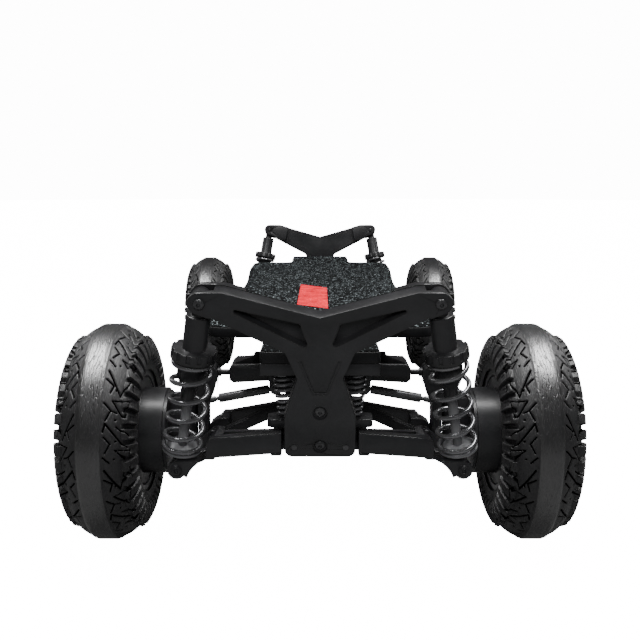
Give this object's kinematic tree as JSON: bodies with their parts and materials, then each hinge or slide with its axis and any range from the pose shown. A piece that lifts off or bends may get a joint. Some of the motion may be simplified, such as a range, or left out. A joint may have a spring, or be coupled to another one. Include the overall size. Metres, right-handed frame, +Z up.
{
  "type": "electric skateboard",
  "caption": "Off-road electric skateboard: a waisted grip-taped deck on lean-steer trucks with double-wishbone suspension, coil-over dampers and pneumatic tyres.",
  "frame": {"origin": "on the ground, below the middle of the deck", "axes": "+Z up, the board runs along Y with its front at -Y, +X to the rider's left when facing the front"},
  "size_m": [0.5074, 1.0878, 0.2835],
  "materials": {
    "black_metal": "black anodised aluminium, satin",
    "grey_metal": "dark grey anodised, satin",
    "dark_steel": "blackened steel, glossy",
    "spring_steel": "gunmetal spring steel, glossy",
    "bright_steel": "bright zinc-plated steel",
    "rim_metal": "black machined alloy",
    "tyre": "black moulded rubber",
    "grip_tape": "black mineral grit",
    "board": "black composite laminate, satin",
    "case_plastic": "textured black plastic",
    "cell_wrap": "blue shrink wrap"
  },
  "bodies": {
    "deck": {"deck_board": "board", "grip_tape": "grip_tape", "battery_case": "case_plastic", "battery_pack": "cell_wrap", "motor_controller": "grey_metal", "charge_port": "grey_metal", "deck_screws": "dark_steel", "front_deck_mount": "black_metal", "rear_deck_mount": "black_metal"},
    "power_button": {"power_button": "bright_steel"},
    "front_truck": {"front_chassis": "black_metal", "front_tower": "black_metal", "front_truck_pins": "dark_steel", "front_cone_springs": "spring_steel"},
    "front_rack": {"front_rack": "grey_metal"},
    "front_left_lower_arm": {"front_left_lower_arm": "black_metal"},
    "front_left_upper_arm": {"front_left_upper_arm": "black_metal"},
    "front_left_carrier": {"front_left_carrier": "black_metal"},
    "front_left_knuckle": {"front_left_knuckle": "black_metal"},
    "front_left_wheel": {"front_left_rim": "rim_metal", "front_left_tyre": "tyre"},
    "front_left_tie_rod": {"front_left_tie_rod": "grey_metal"},
    "front_left_damper_body": {"front_left_damper_body": "black_metal", "front_left_damper_spring": "spring_steel"},
    "front_left_damper_shaft": {"front_left_damper_shaft": "grey_metal"},
    "front_right_lower_arm": {"front_right_lower_arm": "black_metal"},
    "front_right_upper_arm": {"front_right_upper_arm": "black_metal"},
    "front_right_carrier": {"front_right_carrier": "black_metal"},
    "front_right_knuckle": {"front_right_knuckle": "black_metal"},
    "front_right_wheel": {"front_right_rim": "rim_metal", "front_right_tyre": "tyre"},
    "front_right_tie_rod": {"front_right_tie_rod": "grey_metal"},
    "front_right_damper_body": {"front_right_damper_body": "black_metal", "front_right_damper_spring": "spring_steel"},
    "front_right_damper_shaft": {"front_right_damper_shaft": "grey_metal"},
    "rear_truck": {"rear_chassis": "black_metal", "rear_tower": "black_metal", "rear_truck_pins": "dark_steel", "rear_cone_springs": "spring_steel"},
    "rear_rack": {"rear_rack": "grey_metal"},
    "rear_left_lower_arm": {"rear_left_lower_arm": "black_metal"},
    "rear_left_upper_arm": {"rear_left_upper_arm": "black_metal"},
    "rear_left_carrier": {"rear_left_carrier": "black_metal"},
    "rear_left_knuckle": {"rear_left_knuckle": "black_metal"},
    "rear_left_wheel": {"rear_left_rim": "rim_metal", "rear_left_tyre": "tyre"},
    "rear_left_tie_rod": {"rear_left_tie_rod": "grey_metal"},
    "rear_left_damper_body": {"rear_left_damper_body": "black_metal", "rear_left_damper_spring": "spring_steel"},
    "rear_left_damper_shaft": {"rear_left_damper_shaft": "grey_metal"},
    "rear_right_lower_arm": {"rear_right_lower_arm": "black_metal"},
    "rear_right_upper_arm": {"rear_right_upper_arm": "black_metal"},
    "rear_right_carrier": {"rear_right_carrier": "black_metal"},
    "rear_right_knuckle": {"rear_right_knuckle": "black_metal"},
    "rear_right_wheel": {"rear_right_rim": "rim_metal", "rear_right_tyre": "tyre"},
    "rear_right_tie_rod": {"rear_right_tie_rod": "grey_metal"},
    "rear_right_damper_body": {"rear_right_damper_body": "black_metal", "rear_right_damper_spring": "spring_steel"},
    "rear_right_damper_shaft": {"rear_right_damper_shaft": "grey_metal"}
  },
  "joints": [
    {"name": "power_button_press", "type": "slide", "parent": "deck", "child": "power_button", "axis": [-1, 0, 0], "range_m": [0, 0.002], "stiffness_N_per_m": 900},
    {"name": "front_lean", "type": "hinge", "parent": "deck", "child": "front_truck", "pos_m": [0, -0.4, 0.184], "axis": [0, 1, 0], "range_deg": [-9, 9], "stiffness_Nm_per_rad": 60, "deforming": ["front_cone_springs"]},
    {"name": "front_rack_slide", "type": "slide", "parent": "front_truck", "child": "front_rack", "axis": [1, 0, 0], "range_m": [-0.0056, 0.0056]},
    {"name": "front_left_suspension", "type": "hinge", "parent": "front_truck", "child": "front_left_lower_arm", "pos_m": [0.024, -0.4, 0.127], "axis": [0, -1, 0], "range_deg": [-7, 7], "stiffness_Nm_per_rad": 400, "springref_deg": -1.2},
    {"name": "front_left_upper_arm_swing", "type": "hinge", "parent": "front_truck", "child": "front_left_upper_arm", "pos_m": [0.044, -0.4, 0.179], "axis": [0, -1, 0], "range_deg": [-9.62, 9.62]},
    {"name": "front_left_carrier_tilt", "type": "hinge", "parent": "front_left_lower_arm", "child": "front_left_carrier", "pos_m": [0.126, -0.4, 0.095], "axis": [0, -1, 0], "range_deg": [-4.69, 4.69]},
    {"name": "front_left_steer", "type": "hinge", "parent": "front_left_carrier", "child": "front_left_knuckle", "pos_m": [0.138, -0.4, 0.1125], "axis": [0, 0, 1], "range_deg": [-8.76, 8.76]},
    {"name": "front_left_wheel_spin", "type": "hinge", "parent": "front_left_knuckle", "child": "front_left_wheel", "pos_m": [0.2165, -0.4, 0.1125], "axis": [1, 0, 0], "continuous": true},
    {"name": "front_left_tie_rod_swing", "type": "hinge", "parent": "front_rack", "child": "front_left_tie_rod", "pos_m": [0.048, -0.364, 0.149], "axis": [0, -1, 0], "range_deg": [-8.53, 8.53]},
    {"name": "front_left_damper_swing", "type": "hinge", "parent": "front_truck", "child": "front_left_damper_body", "pos_m": [0.1055, -0.52538, 0.27019], "axis": [0.4995, -0.8661, -0.0188], "range_deg": [-1.94, 1.94]},
    {"name": "front_left_damper_slide", "type": "slide", "parent": "front_left_damper_body", "child": "front_left_damper_shaft", "axis": [0.169, 0.2217, -0.9604], "range_m": [-0.0126, 0.0126], "deforming": ["front_left_damper_spring"]},
    {"name": "front_right_suspension", "type": "hinge", "parent": "front_truck", "child": "front_right_lower_arm", "pos_m": [-0.024, -0.4, 0.127], "axis": [0, 1, 0], "range_deg": [-7, 7], "stiffness_Nm_per_rad": 400, "springref_deg": -1.2},
    {"name": "front_right_upper_arm_swing", "type": "hinge", "parent": "front_truck", "child": "front_right_upper_arm", "pos_m": [-0.044, -0.4, 0.179], "axis": [0, 1, 0], "range_deg": [-9.62, 9.62]},
    {"name": "front_right_carrier_tilt", "type": "hinge", "parent": "front_right_lower_arm", "child": "front_right_carrier", "pos_m": [-0.126, -0.4, 0.095], "axis": [0, 1, 0], "range_deg": [-4.69, 4.69]},
    {"name": "front_right_steer", "type": "hinge", "parent": "front_right_carrier", "child": "front_right_knuckle", "pos_m": [-0.138, -0.4, 0.1125], "axis": [0, 0, 1], "range_deg": [-8.76, 8.76]},
    {"name": "front_right_wheel_spin", "type": "hinge", "parent": "front_right_knuckle", "child": "front_right_wheel", "pos_m": [-0.2165, -0.4, 0.1125], "axis": [1, 0, 0], "continuous": true},
    {"name": "front_right_tie_rod_swing", "type": "hinge", "parent": "front_rack", "child": "front_right_tie_rod", "pos_m": [-0.048, -0.364, 0.149], "axis": [0, 1, 0], "range_deg": [-8.53, 8.53]},
    {"name": "front_right_damper_swing", "type": "hinge", "parent": "front_truck", "child": "front_right_damper_body", "pos_m": [-0.1055, -0.52538, 0.27019], "axis": [0.4995, 0.8661, 0.0188], "range_deg": [-1.94, 1.94]},
    {"name": "front_right_damper_slide", "type": "slide", "parent": "front_right_damper_body", "child": "front_right_damper_shaft", "axis": [-0.169, 0.2217, -0.9604], "range_m": [-0.0126, 0.0126], "deforming": ["front_right_damper_spring"]},
    {"name": "rear_lean", "type": "hinge", "parent": "deck", "child": "rear_truck", "pos_m": [0, 0.4, 0.184], "axis": [0, 1, 0], "range_deg": [-9, 9], "stiffness_Nm_per_rad": 60, "deforming": ["rear_cone_springs"]},
    {"name": "rear_rack_slide", "type": "slide", "parent": "rear_truck", "child": "rear_rack", "axis": [1, 0, 0], "range_m": [-0.0056, 0.0056]},
    {"name": "rear_left_suspension", "type": "hinge", "parent": "rear_truck", "child": "rear_left_lower_arm", "pos_m": [0.024, 0.4, 0.127], "axis": [0, -1, 0], "range_deg": [-7, 7], "stiffness_Nm_per_rad": 400, "springref_deg": -1.2},
    {"name": "rear_left_upper_arm_swing", "type": "hinge", "parent": "rear_truck", "child": "rear_left_upper_arm", "pos_m": [0.044, 0.4, 0.179], "axis": [0, -1, 0], "range_deg": [-9.62, 9.62]},
    {"name": "rear_left_carrier_tilt", "type": "hinge", "parent": "rear_left_lower_arm", "child": "rear_left_carrier", "pos_m": [0.126, 0.4, 0.095], "axis": [0, -1, 0], "range_deg": [-4.69, 4.69]},
    {"name": "rear_left_steer", "type": "hinge", "parent": "rear_left_carrier", "child": "rear_left_knuckle", "pos_m": [0.138, 0.4, 0.1125], "axis": [0, 0, 1], "range_deg": [-8.76, 8.76]},
    {"name": "rear_left_wheel_spin", "type": "hinge", "parent": "rear_left_knuckle", "child": "rear_left_wheel", "pos_m": [0.2165, 0.4, 0.1125], "axis": [1, 0, 0], "continuous": true},
    {"name": "rear_left_tie_rod_swing", "type": "hinge", "parent": "rear_rack", "child": "rear_left_tie_rod", "pos_m": [0.048, 0.364, 0.149], "axis": [0, -1, 0], "range_deg": [-8.53, 8.53]},
    {"name": "rear_left_damper_swing", "type": "hinge", "parent": "rear_truck", "child": "rear_left_damper_body", "pos_m": [0.1055, 0.52538, 0.27019], "axis": [-0.4995, -0.8661, 0.0188], "range_deg": [-1.94, 1.94]},
    {"name": "rear_left_damper_slide", "type": "slide", "parent": "rear_left_damper_body", "child": "rear_left_damper_shaft", "axis": [0.169, -0.2217, -0.9604], "range_m": [-0.0126, 0.0126], "deforming": ["rear_left_damper_spring"]},
    {"name": "rear_right_suspension", "type": "hinge", "parent": "rear_truck", "child": "rear_right_lower_arm", "pos_m": [-0.024, 0.4, 0.127], "axis": [0, 1, 0], "range_deg": [-7, 7], "stiffness_Nm_per_rad": 400, "springref_deg": -1.2},
    {"name": "rear_right_upper_arm_swing", "type": "hinge", "parent": "rear_truck", "child": "rear_right_upper_arm", "pos_m": [-0.044, 0.4, 0.179], "axis": [0, 1, 0], "range_deg": [-9.62, 9.62]},
    {"name": "rear_right_carrier_tilt", "type": "hinge", "parent": "rear_right_lower_arm", "child": "rear_right_carrier", "pos_m": [-0.126, 0.4, 0.095], "axis": [0, 1, 0], "range_deg": [-4.69, 4.69]},
    {"name": "rear_right_steer", "type": "hinge", "parent": "rear_right_carrier", "child": "rear_right_knuckle", "pos_m": [-0.138, 0.4, 0.1125], "axis": [0, 0, 1], "range_deg": [-8.76, 8.76]},
    {"name": "rear_right_wheel_spin", "type": "hinge", "parent": "rear_right_knuckle", "child": "rear_right_wheel", "pos_m": [-0.2165, 0.4, 0.1125], "axis": [1, 0, 0], "continuous": true},
    {"name": "rear_right_tie_rod_swing", "type": "hinge", "parent": "rear_rack", "child": "rear_right_tie_rod", "pos_m": [-0.048, 0.364, 0.149], "axis": [0, 1, 0], "range_deg": [-8.53, 8.53]},
    {"name": "rear_right_damper_swing", "type": "hinge", "parent": "rear_truck", "child": "rear_right_damper_body", "pos_m": [-0.1055, 0.52538, 0.27019], "axis": [-0.4995, 0.8661, -0.0188], "range_deg": [-1.94, 1.94]},
    {"name": "rear_right_damper_slide", "type": "slide", "parent": "rear_right_damper_body", "child": "rear_right_damper_shaft", "axis": [-0.169, -0.2217, -0.9604], "range_m": [-0.0126, 0.0126], "deforming": ["rear_right_damper_spring"]}
  ],
  "couplings": [
    {"joint": "front_rack_slide", "follows": "front_lean", "m_per_rad": 0.035},
    {"joint": "front_left_upper_arm_swing", "follows": "front_left_suspension", "ratio": 1.3717},
    {"joint": "front_left_carrier_tilt", "follows": "front_left_suspension", "ratio": -0.66789},
    {"joint": "front_left_tie_rod_swing", "follows": "front_left_suspension", "ratio": 1.2161},
    {"joint": "front_left_damper_swing", "follows": "front_left_suspension", "ratio": 0.27546},
    {"joint": "front_left_damper_slide", "follows": "front_left_suspension", "m_per_rad": -0.10237},
    {"joint": "front_left_steer", "follows": "front_lean", "ratio": -0.97222},
    {"joint": "front_right_upper_arm_swing", "follows": "front_right_suspension", "ratio": 1.3717},
    {"joint": "front_right_carrier_tilt", "follows": "front_right_suspension", "ratio": -0.66789},
    {"joint": "front_right_tie_rod_swing", "follows": "front_right_suspension", "ratio": 1.2161},
    {"joint": "front_right_damper_swing", "follows": "front_right_suspension", "ratio": 0.27546},
    {"joint": "front_right_damper_slide", "follows": "front_right_suspension", "m_per_rad": -0.10237},
    {"joint": "front_right_steer", "follows": "front_lean", "ratio": -0.97222},
    {"joint": "rear_rack_slide", "follows": "rear_lean", "m_per_rad": 0.035},
    {"joint": "rear_left_upper_arm_swing", "follows": "rear_left_suspension", "ratio": 1.3717},
    {"joint": "rear_left_carrier_tilt", "follows": "rear_left_suspension", "ratio": -0.66789},
    {"joint": "rear_left_tie_rod_swing", "follows": "rear_left_suspension", "ratio": 1.2161},
    {"joint": "rear_left_damper_swing", "follows": "rear_left_suspension", "ratio": 0.27546},
    {"joint": "rear_left_damper_slide", "follows": "rear_left_suspension", "m_per_rad": -0.10237},
    {"joint": "rear_left_steer", "follows": "rear_lean", "ratio": 0.97222},
    {"joint": "rear_right_upper_arm_swing", "follows": "rear_right_suspension", "ratio": 1.3717},
    {"joint": "rear_right_carrier_tilt", "follows": "rear_right_suspension", "ratio": -0.66789},
    {"joint": "rear_right_tie_rod_swing", "follows": "rear_right_suspension", "ratio": 1.2161},
    {"joint": "rear_right_damper_swing", "follows": "rear_right_suspension", "ratio": 0.27546},
    {"joint": "rear_right_damper_slide", "follows": "rear_right_suspension", "m_per_rad": -0.10237},
    {"joint": "rear_right_steer", "follows": "rear_lean", "ratio": 0.97222}
  ]
}
